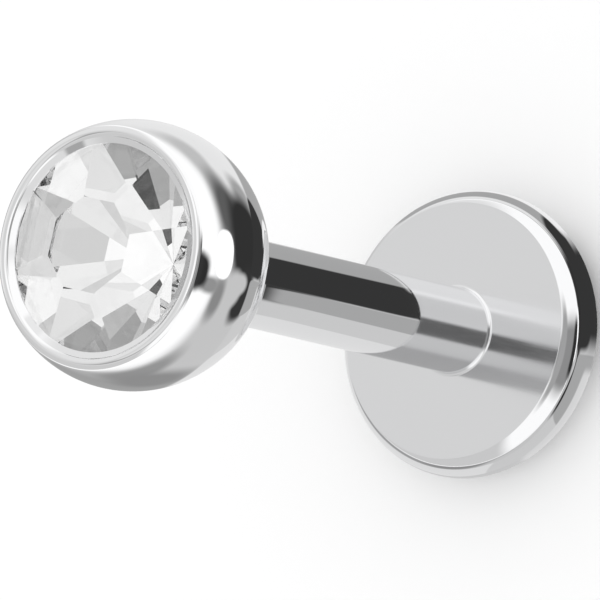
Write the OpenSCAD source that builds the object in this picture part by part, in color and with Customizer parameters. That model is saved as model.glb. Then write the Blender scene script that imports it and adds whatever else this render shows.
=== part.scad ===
// Labret stud with a round cut stone, in millimetres.
// Disc and post are one turned solid. The ball head is another, with the pin
// that pushes into the post, and its burnished rim holds the stone.
// The stud stands on the flat back of its disc: the origin is the middle of
// that back and +Z runs up the post to the stone.

/* [Disc] */
// Diameter over the rounded side
disc_d = 4.0; // [3.8:0.1:5]
// Thickness from the flat back to the front face, which lies against the skin
disc_t = 0.93; // [0.7:0.01:1.2]
// Width of the rounded side around the flat front face
side_w = 0.21; // [0.15:0.01:0.3]

/* [Post] */
// Diameter of the post
post_d = 1.2; // [1:0.1:1.6]
// Length of bare post between the disc and the head
post_l = 6.0; // [5:0.5:12]
// Radius of the bright fillet where the post meets the disc
root_r = 0.04; // [0.02:0.01:0.1]
// Bevel on the free end of the post, inside and outside
post_bevel = 0.03; // [0.01:0.01:0.06]

/* [Push-in pin] */
// Diameter of the pin under the head
pin_d = 0.76; // [0.5:0.02:0.8]
// Length of the pin below the seat of the head
pin_l = 2.4; // [1.5:0.1:3.5]
// Bevel on the tip of the pin
pin_bevel = 0.1; // [0.05:0.01:0.2]
// Running gap between the pin and the wall of its bore
pin_gap = 0.02; // [0.01:0.005:0.05]
// Room left below the tip of the pin
bore_room = 0.2; // [0.1:0.05:0.5]

/* [Ball head] */
// Wall of the ball outside the widest part of the stone
wall_w = 0.335; // [0.28:0.005:0.6]
// How far the flat seat of the head reaches past the post
seat_over = 0.1; // [0.05:0.01:0.3]
// Gap between that seat and the end of the post
seat_gap = 0.01; // [0.005:0.005:0.05]
// How far the rolled edge lies over the stone
edge_over = 0.08; // [0.05:0.01:0.12]
// Thickness of that edge above the stone
edge_t = 0.03; // [0.02:0.005:0.05]
// Width of the bright bevel around the opening
bevel_w = 0.085; // [0.06:0.005:0.11]
// Fall of the bevel from the rim to the opening
bevel_drop = 0.033; // [0.02:0.001:0.06]
// Distance from the bevel to the middle of the rounded rim
crest_w = 0.0735; // [0.06:0.0005:0.08]
// Radius of the rounded rim
crest_r = 0.1; // [0.09:0.005:0.12]

/* [Stone] */
// Diameter over the girdle
stone_d = 3.0; // [2.6:0.05:3.4]
// Diameter over the corners of the table
table_d = 1.35; // [1.1:0.05:2]
// Slope of the crown facets, in degrees
crown_a = 26; // [22:1:34]
// Slope of the pavilion facets, in degrees
pavilion_a = 50; // [44:1:52]
// Thinnest part of the wavy girdle
girdle_t = 0.02; // [0.02:0.005:0.06]
// Number of facets around the crown, and again around the pavilion
mains = 8; // [8:1:16]
// Turn of the stone in its seat, in degrees
stone_turn = 23; // [0:1:45]
// Gap between the stone and the metal around it
stone_gap = 0.02; // [0.01:0.005:0.04]

/* [Hidden] */
$fn = 180;
// Cuts run past the solids that they open by this much
past = 0.1;

// Disc: the side is one arc that starts flat on the back, bulges to the full
// diameter and ends at the rim of the front face
disc_r = disc_d / 2;
side_r = side_w + disc_t - sqrt(2 * side_w * disc_t);

// Post and bore
post_r = post_d / 2;
post_top = disc_t + post_l;
pin_r = pin_d / 2;
bore_r = pin_r + pin_gap;
bore_depth = pin_l + bore_room;

// Ball head, built outwards from the stone that it holds: heights are measured
// from the middle of the ball, and the rounded rim touches the ball from inside
stone_r = stone_d / 2;
ball_r = stone_r + wall_w;
seat_r = post_r + seat_over;
seat_drop = sqrt(pow(ball_r, 2) - pow(seat_r, 2));
ball_z = post_top + seat_gap + seat_drop;
opening_r = stone_r - edge_over;
bevel_r = opening_r + bevel_w;
crest_x = bevel_r + crest_w;
crest_z = sqrt(pow(ball_r - crest_r, 2) - pow(crest_x, 2));
tangent_z = crest_z * ball_r / (ball_r - crest_r);
bevel_z = crest_z + sqrt(pow(crest_r, 2) - pow(crest_w, 2));
opening_z = bevel_z - bevel_drop;

// Stone: crown facets meet at corners of the table, and a pavilion facet lies
// under each of them. Both run out at a round girdle, so its two edges are waves
// and it is thinnest between their bellies. The crown lies under the rolled edge,
// one gap away from it.
table_r = table_d / 2;
half = 180 / mains;
crown_rise = cos(half) * tan(crown_a);
pavilion_rise = cos(half) * tan(pavilion_a);
crown_room = stone_gap / cos(atan(crown_rise));
pavilion_room = stone_gap / cos(atan(pavilion_rise));
crown_high = opening_z - edge_t - crown_room - (stone_r - opening_r) * crown_rise;
crown_low = crown_high - stone_r * (tan(crown_a) - crown_rise);
table_z = crown_high + (stone_r - table_r) * crown_rise;
pavilion_high = crown_low - girdle_t;
culet_z = pavilion_high - stone_r * tan(pavilion_a);
pavilion_low = culet_z + stone_r * pavilion_rise;

// Height of the metal around the stone, one gap outside crown and pavilion
function crown_wall(r) = crown_high + (stone_r - r) * crown_rise + crown_room;
function pavilion_wall(r) = culet_z + r * pavilion_rise - pavilion_room;

// Corners of the stone: one ring of points at radius r and height z, turned
// by half a facet where shift is 1
function ring(r, z, shift) = [
    for (i = [0 : mains - 1])
        let (a = stone_turn + (2 * i + shift) * half)
            [r * cos(a), r * sin(a), z]
];

// Half section of the disc, right of the axis
module disc_profile() {
    square([disc_r - side_r, disc_t]);
    intersection() {
        translate([disc_r - side_r, side_r])
            circle(r = side_r);
        translate([disc_r - side_r, 0])
            square([side_r, disc_t]);
    }
}

// Fillet between the post and the front face
module root_profile() {
    difference() {
        translate([post_r - past, disc_t - past])
            square([root_r + past, root_r + past]);
        translate([post_r + root_r, disc_t + root_r])
            circle(r = root_r);
    }
}

// Post with its blind bore and the bevels of its free end
module post_profile() {
    difference() {
        polygon([
            [0, 0],
            [post_r, 0],
            [post_r, post_top - post_bevel],
            [post_r - post_bevel, post_top],
            [0, post_top]
        ]);
        polygon([
            [-past, post_top - bore_depth],
            [bore_r, post_top - bore_depth],
            [bore_r, post_top - post_bevel],
            [bore_r + post_bevel, post_top],
            [bore_r + post_bevel, post_top + past],
            [-past, post_top + past]
        ]);
    }
}

// Disc and post, turned as one solid
module disc_post() {
    color("lightsteelblue")
        rotate_extrude() {
            disc_profile();
            root_profile();
            post_profile();
        }
}

// Outer half section of the ball with its rounded rim and inner bevel
module ball_profile() {
    difference() {
        union() {
            intersection() {
                circle(r = ball_r);
                translate([0, -seat_drop])
                    square([ball_r, seat_drop + tangent_z]);
            }
            translate([crest_x, crest_z])
                circle(r = crest_r);
            polygon([
                [0, 0],
                [crest_x, 0],
                [crest_x, crest_z],
                [bevel_r, bevel_z],
                [opening_r, opening_z],
                [0, opening_z]
            ]);
        }
        polygon([
            [-past, opening_z],
            [opening_r, opening_z],
            [bevel_r, bevel_z],
            [bevel_r, ball_r],
            [-past, ball_r]
        ]);
    }
}

// Pocket for the stone: a cone under the pavilion, a wall around the girdle
// and the underside of the rolled edge
module pocket_profile() {
    wall_r = stone_r + stone_gap;
    polygon([
        [0, pavilion_wall(0)],
        [wall_r, pavilion_wall(wall_r)],
        [wall_r, crown_wall(wall_r)],
        [opening_r, crown_wall(opening_r)],
        [opening_r, ball_r],
        [0, ball_r]
    ]);
}

// Pin below the seat, with a bevelled tip
module pin_profile() {
    polygon([
        [0, past - seat_drop],
        [0, -seat_drop - pin_l],
        [pin_r - pin_bevel, -seat_drop - pin_l],
        [pin_r, -seat_drop - pin_l + pin_bevel],
        [pin_r, past - seat_drop]
    ]);
}

// Ball head with its pin, turned as one solid
module bezel_head() {
    color("silver")
        translate([0, 0, ball_z])
            rotate_extrude() {
                difference() {
                    ball_profile();
                    pocket_profile();
                }
                pin_profile();
            }
}

// Round stone of a table, one row of crown facets, a girdle and one row of
// pavilion facets that meet in the culet
module crystal() {
    n = mains;
    points = concat(
        ring(table_r, table_z, 0),
        ring(stone_r, crown_high, 0),
        ring(stone_r, crown_low, 1),
        ring(stone_r, pavilion_low, 0),
        ring(stone_r, pavilion_high, 1),
        [[0, 0, culet_z]]
    );
    table = 0;
    top_corner = table + n;
    top_middle = top_corner + n;
    low_corner = top_middle + n;
    low_middle = low_corner + n;
    culet = low_middle + n;
    sides = [for (i = [0 : n - 1]) let (j = (i + 1) % n) each [
        [table + i, table + j, top_corner + j, top_middle + i, top_corner + i],
        [top_corner + i, top_middle + i, low_middle + i, low_corner + i],
        [top_middle + i, top_corner + j, low_corner + j, low_middle + i],
        [low_corner + i, low_middle + i, low_corner + j, culet]
    ]];
    color("aliceblue")
        translate([0, 0, ball_z])
            polyhedron(points, concat([[for (i = [0 : n - 1]) n - 1 - i]], sides));
}

disc_post();
bezel_head();
crystal();
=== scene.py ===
# Labret stud with a round cut stone, standing unworn on the flat back of its disc.
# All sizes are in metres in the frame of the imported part: the origin is the middle
# of that back and +Z runs up the post to the stone.

import math

import bpy
from mathutils import Matrix, Vector


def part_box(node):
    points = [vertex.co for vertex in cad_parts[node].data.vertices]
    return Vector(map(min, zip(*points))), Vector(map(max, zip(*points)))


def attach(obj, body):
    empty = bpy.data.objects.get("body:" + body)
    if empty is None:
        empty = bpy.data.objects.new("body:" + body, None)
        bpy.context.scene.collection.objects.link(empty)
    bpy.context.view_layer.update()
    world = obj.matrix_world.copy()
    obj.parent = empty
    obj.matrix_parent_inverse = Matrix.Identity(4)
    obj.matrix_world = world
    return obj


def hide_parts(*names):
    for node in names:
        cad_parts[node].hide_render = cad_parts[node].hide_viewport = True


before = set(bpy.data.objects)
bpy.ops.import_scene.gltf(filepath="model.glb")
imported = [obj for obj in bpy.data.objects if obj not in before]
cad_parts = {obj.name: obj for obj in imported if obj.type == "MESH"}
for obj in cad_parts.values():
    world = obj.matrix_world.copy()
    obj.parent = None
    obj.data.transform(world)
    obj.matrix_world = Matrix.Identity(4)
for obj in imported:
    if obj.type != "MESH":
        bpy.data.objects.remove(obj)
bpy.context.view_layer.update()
MM = 0.001


# Camera: it stands well off with a narrow view, as for a close product picture,
# looks down on the stone and is rolled, so the post runs down to the right.
camera_elevation = math.radians(54.4)
camera_roll = math.radians(-76.8)
camera_distance = 260 * MM
sensor_width = 36
frame_width = 8.18 * MM
aim_height = 4.67 * MM
aim_aside = -0.076 * MM

towards = Vector((0, -math.cos(camera_elevation), math.sin(camera_elevation)))
level_right = Vector((1, 0, 0))
level_up = towards.cross(level_right)
right = level_right * math.cos(camera_roll) + level_up * math.sin(camera_roll)
up = towards.cross(right)
camera_data = bpy.data.cameras.new("camera")
camera_data.sensor_width = sensor_width
camera_data.lens = sensor_width * camera_distance / frame_width
camera_data.clip_start = 10 * MM
camera_data.clip_end = 10000 * MM
camera = bpy.data.objects.new("camera", camera_data)
bpy.context.scene.collection.objects.link(camera)
aim = Vector((0, 0, aim_height)) + up * aim_aside
turn = Matrix((right, up, towards)).transposed().to_4x4()
camera.matrix_world = Matrix.Translation(aim + towards * camera_distance) @ turn
bpy.context.scene.camera = camera


# Floor: a plain pale table top under the flat back of the disc. The polished metal
# doesn't mirror it, but the reflector card that is laid just under it.
floor_half = 600 * MM
floor_tone = 0.93
floor_roughness = 0.9

floor_mesh = bpy.data.meshes.new("floor")
corners = ((-1, -1), (1, -1), (1, 1), (-1, 1))
floor_mesh.from_pydata([(x * floor_half, y * floor_half, 0) for x, y in corners], [], [(0, 1, 2, 3)])
floor = bpy.data.objects.new("floor", floor_mesh)
bpy.context.scene.collection.objects.link(floor)
floor_paint = bpy.data.materials.new("pale_table")
floor_paint.use_nodes = True
shader = floor_paint.node_tree.nodes["Principled BSDF"]
shader.inputs["Base Color"].default_value = (floor_tone, floor_tone, floor_tone, 1)
shader.inputs["Roughness"].default_value = floor_roughness
shader.inputs["Specular IOR Level"].default_value = 0
floor_mesh.materials.append(floor_paint)
floor.visible_glossy = False


# Reflector card: what the mirror-bright steel sees below it. It is a pale sheet
# with black flags and light panels around the stud, and shows in reflections alone.
def feed(tree, value, socket):
    """Links a node's output to the socket, or sets a plain number on it."""
    if isinstance(value, bpy.types.NodeSocket):
        tree.links.new(value, socket)
    else:
        socket.default_value = value


def math_node(tree, operation, *values):
    """A Math node, fed by sockets or plain numbers. Gives its output socket."""
    node = tree.nodes.new("ShaderNodeMath")
    node.operation = operation
    for socket, value in zip(node.inputs, values):
        feed(tree, value, socket)
    return node.outputs[0]


def panel_group():
    """One flag or light panel laid over the tone behind it, oval to square, with soft edges."""
    tree = bpy.data.node_groups.new("studio_panel", "ShaderNodeTree")
    for name in ("Behind", "Bearing", "Elevation") + panel_values:
        tree.interface.new_socket(name, in_out="INPUT", socket_type="NodeSocketFloat")
    tree.interface.new_socket("Tone", in_out="OUTPUT", socket_type="NodeSocketFloat")
    given = tree.nodes.new("NodeGroupInput").outputs
    result = tree.nodes.new("NodeGroupOutput").inputs
    turned = math_node(tree, "SUBTRACT", given["Bearing"], given["Middle"])
    aside = math_node(tree, "ABSOLUTE", math_node(tree, "WRAP", turned, 180, -180))
    above = math_node(tree, "ABSOLUTE", math_node(tree, "SUBTRACT", given["Elevation"], given["Height"]))
    squareness = given["Squareness"]
    across = math_node(tree, "POWER", math_node(tree, "DIVIDE", aside, given["Half Width"]), squareness)
    along = math_node(tree, "POWER", math_node(tree, "DIVIDE", above, given["Half Height"]), squareness)
    root = math_node(tree, "DIVIDE", 1, squareness)
    out = math_node(tree, "POWER", math_node(tree, "ADD", across, along), root)
    edge = tree.nodes.new("ShaderNodeMapRange")
    edge.interpolation_type = "SMOOTHSTEP"
    tree.links.new(out, edge.inputs["Value"])
    tree.links.new(math_node(tree, "ADD", 1, given["Softness"]), edge.inputs["From Min"])
    tree.links.new(math_node(tree, "SUBTRACT", 1, given["Softness"]), edge.inputs["From Max"])
    change = math_node(tree, "SUBTRACT", given["Tone"], given["Behind"])
    tone = math_node(tree, "MULTIPLY_ADD", change, edge.outputs["Result"], given["Behind"])
    tree.links.new(tone, result[0])
    return tree


def lay_panels(tree, bearing, elevation, ground, panels):
    """Lays the panels over the ground tone, one after another. Gives the tone's socket."""
    tone = ground
    for panel in panels:
        node = tree.nodes.new("ShaderNodeGroup")
        node.node_tree = panel_tree
        feed(tree, tone, node.inputs["Behind"])
        feed(tree, bearing, node.inputs["Bearing"])
        feed(tree, elevation, node.inputs["Elevation"])
        for name, value in zip(panel_values, panel):
            feed(tree, value, node.inputs[name])
        tone = node.outputs["Tone"]
    return tone


panel_values = ("Middle", "Half Width", "Height", "Half Height", "Squareness", "Softness", "Tone")
panel_tree = panel_group()
card_half = 300 * MM
card_drop = 0.05 * MM
card_ground = 0.62
# The card's panels are placed as seen from the middle of the ball, at this height.
seen_from = 8.46 * MM
# Bearing and half width, elevation and half height, in degrees, then squareness
# (2 is an oval), softness as a share of the half size, and tone.
card_panels = (
    (0, 999, 0, 22, 2, 0.25, 1.15),
    (15, 52, -46, 24, 3, 0.35, 0.88),
    (178, 29, -28.5, 6, 2.3, 0.5, 0.34),
    (138, 28, -50, 22, 2.5, 0.3, 0.38),
    (168, 18, -42, 16, 2, 0.45, 0.3),
    (147, 48, -90, 32, 12, 0.04, 0.8),
    (218, 24, -90, 32, 12, 0.04, 0.66),
    (22, 38, -90, 32, 12, 0.04, 0.42),
    (358, 26, -28, 6, 2.3, 0.5, 0.58),
    (340, 14, -51, 8, 2, 0.5, 0.4),
    (318, 26, -31, 9, 2.2, 0.5, 0.12),
    (301, 34, -49, 17, 2.6, 0.25, 0.035),
    (258, 23, -54, 10, 2.5, 0.25, 0.04),
    (262, 14, -41, 9, 2, 0.3, 0.62),
    (267, 8, -48, 7, 2, 0.35, 0.62),
    (254, 16, -27, 5, 2.5, 0.5, 0.28),
    (262, 6, -17, 8, 2.5, 0.4, 0.32),
    (270, 13, -6, 7.5, 2.5, 0.3, 0.03),
    (285, 17, -26, 8, 2.6, 0.08, 1.4),
    (255, 18, -90, 30.8, 12, 0.03, 0.43),
    (312, 37, -66, 8.5, 8, 0.06, 0.04),
    (150, 62, -78, 4, 8, 0.1, 0.62),
    (240, 26, -78, 4, 8, 0.1, 0.75),
    (302, 25, -76, 5, 3, 0.25, 0.04),
    (12, 38, -77.5, 4.2, 8, 0.1, 0.95),
    (150, 70, 0, 6, 8, 0.1, 0.62),
    (270, 14, 0, 7.5, 6, 0.3, 0.04),
    (90, 38, -8, 13, 2, 0.35, 0.45),
)

card_mesh = bpy.data.meshes.new("reflector_card")
card_mesh.from_pydata([(x * card_half, y * card_half, -card_drop) for x, y in corners], [], [(0, 1, 2, 3)])
card = bpy.data.objects.new("reflector_card", card_mesh)
bpy.context.scene.collection.objects.link(card)
card_paint = bpy.data.materials.new("reflector_card")
card_paint.use_nodes = True
tree = card_paint.node_tree
tree.nodes.clear()
place = tree.nodes.new("ShaderNodeSeparateXYZ")
tree.links.new(tree.nodes.new("ShaderNodeTexCoord").outputs["Object"], place.inputs[0])
x, y = place.outputs["X"], place.outputs["Y"]
bearing = math_node(tree, "MULTIPLY", math_node(tree, "ARCTAN2", y, x), 180 / math.pi)
square = math_node(tree, "ADD", math_node(tree, "MULTIPLY", x, x), math_node(tree, "MULTIPLY", y, y))
reach = math_node(tree, "SQRT", square)
elevation = math_node(tree, "MULTIPLY", math_node(tree, "ARCTAN2", seen_from, reach), -180 / math.pi)
glow = tree.nodes.new("ShaderNodeEmission")
tree.links.new(lay_panels(tree, bearing, elevation, card_ground, card_panels), glow.inputs["Color"])
output = tree.nodes.new("ShaderNodeOutputMaterial")
tree.links.new(glow.outputs[0], output.inputs["Surface"])
card_mesh.materials.append(card_paint)
card.visible_camera = False
card.visible_diffuse = False
card.visible_shadow = False


# Studio: an even white tent of soft light. The steel and the stone also see grey
# panels in it, and the dark opening that the camera looks through.
tent_light = 1.12
# Placed and shaped as the card's panels are.
tent_panels = (
    (0, 999, 90, 38, 2, 0.3, 0.76),
    (10, 45, 60, 22, 3, 0.3, 1.12),
    (90, 50, 58, 24, 4, 0.2, 0.72),
    (148, 46, 18, 36, 4, 0.15, 0.66),
    (62, 36, 24, 30, 3, 0.3, 0.85),
    (158, 48, 62, 16, 3, 0.25, 0.8),
    (270, 28, 22, 32, 3, 0.25, 0.6),
    (270, 22, 22, 30, 3, 0.2, 0.3),
    (277, 19, 1, 9, 3, 0.25, 0.03),
    (270, 60, 80, 20, 3, 0.3, 1.1),
    (270, 40, 40, 8, 3, 0.3, 0.4),
    (318, 30, 54.4, 4, 3, 0.3, 0.72),
    (222, 20, 54.4, 4, 3, 0.3, 0.66),
    (25, 30, 54.4, 4, 3, 0.3, 0.92),
    (155, 45, 54.4, 3.5, 6, 0.3, 0.42),
    (263, 23, 54.4, 2.5, 6, 0.2, 0.06),
)

world = bpy.data.worlds.new("tent")
bpy.context.scene.world = world
world.use_nodes = True
tree = world.node_tree
tree.nodes.clear()
place = tree.nodes.new("ShaderNodeSeparateXYZ")
tree.links.new(tree.nodes.new("ShaderNodeTexCoord").outputs["Generated"], place.inputs[0])
turned_by = math_node(tree, "ARCTAN2", place.outputs["Y"], place.outputs["X"])
bearing = math_node(tree, "MULTIPLY", turned_by, 180 / math.pi)
elevation = math_node(tree, "MULTIPLY", math_node(tree, "ARCSINE", place.outputs["Z"]), 180 / math.pi)
panelled = lay_panels(tree, bearing, elevation, tent_light, tent_panels)
path = tree.nodes.new("ShaderNodeLightPath")
mirrored = math_node(tree, "MAXIMUM", path.outputs["Is Glossy Ray"], path.outputs["Is Transmission Ray"])
change = math_node(tree, "SUBTRACT", panelled, tent_light)
tone = math_node(tree, "MULTIPLY_ADD", change, mirrored, tent_light)
background = tree.nodes.new("ShaderNodeBackground")
tree.links.new(tone, background.inputs["Color"])
output = tree.nodes.new("ShaderNodeOutputWorld")
tree.links.new(background.outputs[0], output.inputs["Surface"])


# Disc and post: one turned piece of surgical steel. The disc's rounded side and the
# post are polished bright, its flat front face is satin, and the post is bored for the pin.
def arc(centre_r, centre_z, radius, start, end, steps):
    """Points of a round stretch of a half section, from one angle to another, in degrees."""
    points = []
    for k in range(steps + 1):
        angle = math.radians(start + (end - start) * k / steps)
        points.append((centre_r + radius * math.cos(angle), centre_z + radius * math.sin(angle)))
    return points


def turned(name, stretches, around=256, sharp=14, hold=0.004 * MM):
    """Turns a half section about the Z axis. A stretch is a list of points and the slot of its finish.
    A long straight line gets a ring close to each end, so the shading of a curve beside it stops there."""
    touching = 0.000001 * MM
    section, slots = [stretches[0][0][0]], []
    for points, finish in stretches:
        for point in points:
            length = math.dist(section[-1], point)
            if length < touching:
                continue
            if length > 20 * hold:
                start = Vector(section[-1])
                run = (Vector(point) - start) * hold / length
                section += [tuple(start + run), tuple(Vector(point) - run)]
                slots += [finish, finish]
            slots.append(finish)
            section.append(point)
    vertices, rings = [], []
    for radius, height in section:
        if radius < touching:
            rings.append([len(vertices)] * around)
            vertices.append((0, 0, height))
        else:
            rings.append(list(range(len(vertices), len(vertices) + around)))
            for k in range(around):
                angle = 2 * math.pi * k / around
                vertices.append((radius * math.cos(angle), radius * math.sin(angle), height))
    faces, finishes = [], []
    for lower, upper, finish in zip(rings, rings[1:], slots):
        for k in range(around):
            j = (k + 1) % around
            face = (lower[k], lower[j], upper[j], upper[k])
            faces.append(tuple(dict.fromkeys(face)))
            finishes.append(finish)
    mesh = bpy.data.meshes.new(name)
    mesh.from_pydata(vertices, [], faces)
    mesh.polygons.foreach_set("material_index", finishes)
    mesh.shade_smooth()
    mesh.set_sharp_from_angle(angle=math.radians(sharp))
    piece = bpy.data.objects.new(name, mesh)
    bpy.context.scene.collection.objects.link(piece)
    return piece


def polish_group():
    """Traces that polishing leaves: faint clouds in the gloss, and fine hairlines along one way."""
    tree = bpy.data.node_groups.new("polish_traces", "ShaderNodeTree")
    for name in ("Gloss", "Clouds", "Hairlines", "Hairline Depth"):
        tree.interface.new_socket(name, in_out="INPUT", socket_type="NodeSocketFloat")
    tree.interface.new_socket("Hairline Run", in_out="INPUT", socket_type="NodeSocketVector")
    tree.interface.new_socket("Roughness", in_out="OUTPUT", socket_type="NodeSocketFloat")
    tree.interface.new_socket("Normal", in_out="OUTPUT", socket_type="NodeSocketVector")
    given = tree.nodes.new("NodeGroupInput").outputs
    result = tree.nodes.new("NodeGroupOutput").inputs
    place = tree.nodes.new("ShaderNodeTexCoord").outputs["Object"]
    clouds = tree.nodes.new("ShaderNodeTexNoise")
    clouds.inputs["Scale"].default_value = 1.2 / MM
    clouds.inputs["Detail"].default_value = 4
    tree.links.new(place, clouds.inputs["Vector"])
    stretch = tree.nodes.new("ShaderNodeVectorMath")
    stretch.operation = "MULTIPLY"
    tree.links.new(place, stretch.inputs[0])
    tree.links.new(given["Hairline Run"], stretch.inputs[1])
    hairlines = tree.nodes.new("ShaderNodeTexNoise")
    hairlines.inputs["Scale"].default_value = 1 / MM
    hairlines.inputs["Detail"].default_value = 3
    tree.links.new(stretch.outputs[0], hairlines.inputs["Vector"])
    uneven = math_node(tree, "SUBTRACT", clouds.outputs["Fac"], 0.5)
    clouded = math_node(tree, "MULTIPLY_ADD", uneven, given["Clouds"], given["Gloss"])
    lined = math_node(tree, "SUBTRACT", hairlines.outputs["Fac"], 0.5)
    tree.links.new(math_node(tree, "MULTIPLY_ADD", lined, given["Hairlines"], clouded), result["Roughness"])
    bump = tree.nodes.new("ShaderNodeBump")
    bump.inputs["Distance"].default_value = MM
    tree.links.new(math_node(tree, "MULTIPLY", lined, given["Hairline Depth"]), bump.inputs["Height"])
    tree.links.new(bump.outputs[0], result["Normal"])
    return tree


def polished(name, tone, gloss, clouds, hairlines, hairline_depth, hairline_run):
    """A polished surface, mirror-bright to satin, with its traces. The depth is in millimetres."""
    finish = bpy.data.materials.new(name)
    finish.use_nodes = True
    tree = finish.node_tree
    shader = tree.nodes["Principled BSDF"]
    shader.inputs["Base Color"].default_value = (*tone, 1)
    traces = tree.nodes.new("ShaderNodeGroup")
    traces.node_tree = polish_tree
    traces.inputs["Gloss"].default_value = gloss
    traces.inputs["Clouds"].default_value = clouds
    traces.inputs["Hairlines"].default_value = hairlines
    traces.inputs["Hairline Depth"].default_value = hairline_depth
    traces.inputs["Hairline Run"].default_value = hairline_run
    tree.links.new(traces.outputs["Roughness"], shader.inputs["Roughness"])
    tree.links.new(traces.outputs["Normal"], shader.inputs["Normal"])
    return finish, shader


def metal(name, tone, gloss, clouds, hairlines, hairline_depth, hairline_run):
    """Polished metal."""
    finish, shader = polished(name, tone, gloss, clouds, hairlines, hairline_depth, hairline_run)
    shader.inputs["Metallic"].default_value = 1
    return finish


polish_tree = polish_group()
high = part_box("disc_post")[1]
disc_r = high.x
post_top = high.z
disc_t = 0.93 * MM
side_w = 0.21 * MM
post_r = 0.6 * MM
root_r = 0.04 * MM
post_bevel = 0.03 * MM
bore_r = 0.4 * MM
bore_depth = 2.6 * MM
side_r = side_w + disc_t - math.sqrt(2 * side_w * disc_t)
rim_break = 0.012 * MM
rim_z = disc_t - rim_break
rim_r = disc_r - side_r + math.sqrt((side_r - rim_break) ** 2 - (rim_z - side_r) ** 2)
rim_angle = math.degrees(math.asin((rim_z - side_r) / (side_r - rim_break)))

side = arc(disc_r - side_r, side_r, side_r, -90, rim_angle, 80)
rim = arc(rim_r, rim_z, rim_break, rim_angle, 90, 6)
disc_post = turned(
    "disc_post_turned",
    (
        ([(0, 0)] + side + rim, 0),
        ([(post_r + root_r, disc_t)], 1),
        (arc(post_r + root_r, disc_t + root_r, root_r, 270, 180, 10), 0),
        (
            [
                (post_r, post_top - post_bevel),
                (post_r - post_bevel, post_top),
                (bore_r + post_bevel, post_top),
                (bore_r, post_top - post_bevel),
                (bore_r, post_top - bore_depth),
                (0, post_top - bore_depth),
            ],
            0,
        ),
    ),
)
post_tone = (0.86, 0.862, 0.87)
bright_steel = metal("polished_post_steel", post_tone, 0.04, 0.03, 0.03, 0.00002, (30, 30, 1.5))
satin_steel = metal("satin_face_steel", post_tone, 0.11, 0.03, 0.05, 0.0001, (40, 2, 40))
disc_post.data.materials.append(bright_steel)
disc_post.data.materials.append(satin_steel)
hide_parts("disc_post")
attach(disc_post, "post")


# Ball head: turned from one piece of steel with the pin that pushes into the post.
# Its rim is rounded, burnished over the stone, and bevelled bright around it.
low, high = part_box("bezel_head")
ball_r = high.x
pin_foot = low.z
pin_r = 0.38 * MM
pin_bevel = 0.1 * MM
pin_l = 2.4 * MM
seat_r = 0.7 * MM
stone_r = 1.5 * MM
opening_r = 1.42 * MM
bevel_r = 1.505 * MM
bevel_drop = 0.033 * MM
crest_w = 0.0735 * MM
crest_r = 0.1 * MM
edge_t = 0.03 * MM
stone_gap = 0.02 * MM
seat_z = pin_foot + pin_l
ball_z = seat_z + math.sqrt(ball_r**2 - seat_r**2)
crest_x = bevel_r + crest_w
crest_z = ball_z + math.sqrt((ball_r - crest_r) ** 2 - crest_x**2)
bevel_z = crest_z + math.sqrt(crest_r**2 - crest_w**2)
opening_z = bevel_z - bevel_drop
seat_angle = -math.degrees(math.acos(seat_r / ball_r))
crest_start = math.degrees(math.atan2(crest_z - ball_z, crest_x))
crest_end = 180 - math.degrees(math.acos(crest_w / crest_r))
wall_r = stone_r + stone_gap
mains = 8
half_facet = math.pi / mains
crown_slope = math.radians(26)
pavilion_slope = math.radians(50)
girdle_t = 0.02 * MM
crown_rise = math.cos(half_facet) * math.tan(crown_slope)
pavilion_rise = math.cos(half_facet) * math.tan(pavilion_slope)
crown_room = stone_gap / math.cos(math.atan(crown_rise))
pavilion_room = stone_gap / math.cos(math.atan(pavilion_rise))
crown_high = opening_z - edge_t - crown_room - (stone_r - opening_r) * crown_rise
crown_low = crown_high - stone_r * (math.tan(crown_slope) - crown_rise)
culet_z = crown_low - girdle_t - stone_r * math.tan(pavilion_slope)

head = turned(
    "bezel_head_turned",
    (
        (
            [
                (0, pin_foot),
                (pin_r - pin_bevel, pin_foot),
                (pin_r, pin_foot + pin_bevel),
                (pin_r, seat_z),
                (seat_r, seat_z),
            ],
            0,
        ),
        (arc(0, ball_z, ball_r, seat_angle, crest_start, 120), 0),
        (arc(crest_x, crest_z, crest_r, crest_start, crest_end, 24), 0),
        (
            [
                (opening_r, opening_z),
                (opening_r, opening_z - edge_t),
                (wall_r, opening_z - edge_t - (wall_r - opening_r) * crown_rise),
                (wall_r, culet_z + wall_r * pavilion_rise - pavilion_room),
                (0, culet_z - pavilion_room),
            ],
            0,
        ),
    ),
)
head_tone = (0.88, 0.881, 0.886)
head.data.materials.append(metal("polished_head_steel", head_tone, 0.035, 0.03, 0.02, 0.00002, (24, 24, 2)))
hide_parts("bezel_head")
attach(head, "head")


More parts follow.
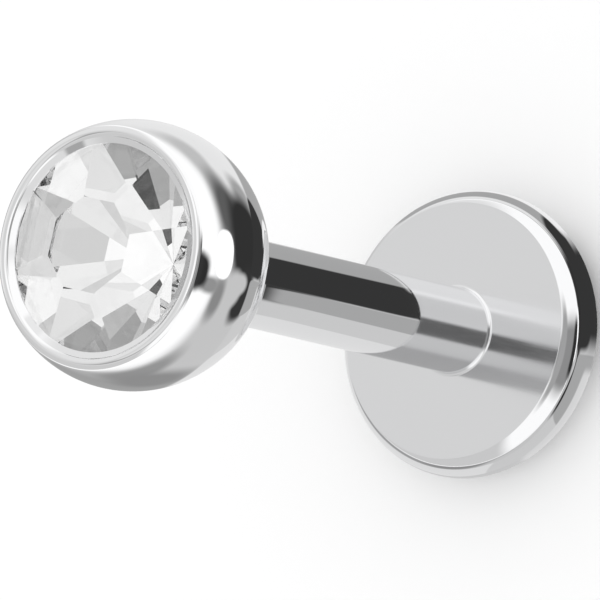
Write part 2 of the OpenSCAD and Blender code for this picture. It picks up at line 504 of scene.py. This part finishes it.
# Crystal: clear glass, cut with a table, one row of crown facets and one row of
# pavilion facets under them. Girdle and pavilion are silvered behind.
table_r = 0.675 * MM
stone_turn = math.radians(23)
glass_ior = 1.58
silver_tone = (0.95, 0.95, 0.95)
table_z = crown_high + (stone_r - table_r) * crown_rise


def stone_ring(radius, height, shift):
    """One ring of the stone's corners, turned by half a facet where shift is 1."""
    corners = []
    for i in range(mains):
        angle = stone_turn + (2 * i + shift) * half_facet
        corners.append((radius * math.cos(angle), radius * math.sin(angle), height))
    return corners


vertices = (
    stone_ring(table_r, table_z, 0)
    + stone_ring(stone_r, crown_high, 0)
    + stone_ring(stone_r, crown_low, 1)
    + stone_ring(stone_r, culet_z + stone_r * pavilion_rise, 0)
    + stone_ring(stone_r, crown_low - girdle_t, 1)
    + [(0, 0, culet_z)]
)
table, top_corner, top_middle, low_corner, low_middle, culet = (mains * k for k in range(6))
faces, finishes = [tuple(range(mains))], [0]
for i in range(mains):
    j = (i + 1) % mains
    faces.append((table + i, top_corner + i, top_middle + i, top_corner + j, table + j))
    faces.append((top_corner + i, low_corner + i, low_middle + i, top_middle + i))
    faces.append((top_middle + i, low_middle + i, low_corner + j, top_corner + j))
    faces.append((low_corner + i, culet, low_corner + j, low_middle + i))
    finishes += [0, 1, 1, 1]
stone_mesh = bpy.data.meshes.new("cut_crystal")
stone_mesh.from_pydata(vertices, [], faces)
stone_mesh.polygons.foreach_set("material_index", finishes)
crystal = bpy.data.objects.new("cut_crystal", stone_mesh)
bpy.context.scene.collection.objects.link(crystal)

glass, shader = polished("clear_crystal", (1, 1, 1), 0.001, 0.004, 0.002, 0.000001, (3, 3, 3))
shader.inputs["IOR"].default_value = glass_ior
shader.inputs["Transmission Weight"].default_value = 1
silvering = metal("silvered_back", silver_tone, 0.008, 0.01, 0.004, 0.000002, (3, 3, 3))
stone_mesh.materials.append(glass)
stone_mesh.materials.append(silvering)
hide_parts("crystal")
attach(crystal, "head")


# Picture: plain tones, with no film curve over them, and enough bounces for light
# that goes to and fro inside the stone.
bpy.context.scene.cycles.glossy_bounces = 40
bpy.context.scene.cycles.max_bounces = 48
bpy.context.scene.view_settings.view_transform = "Standard"
bpy.context.scene.view_settings.look = "None"
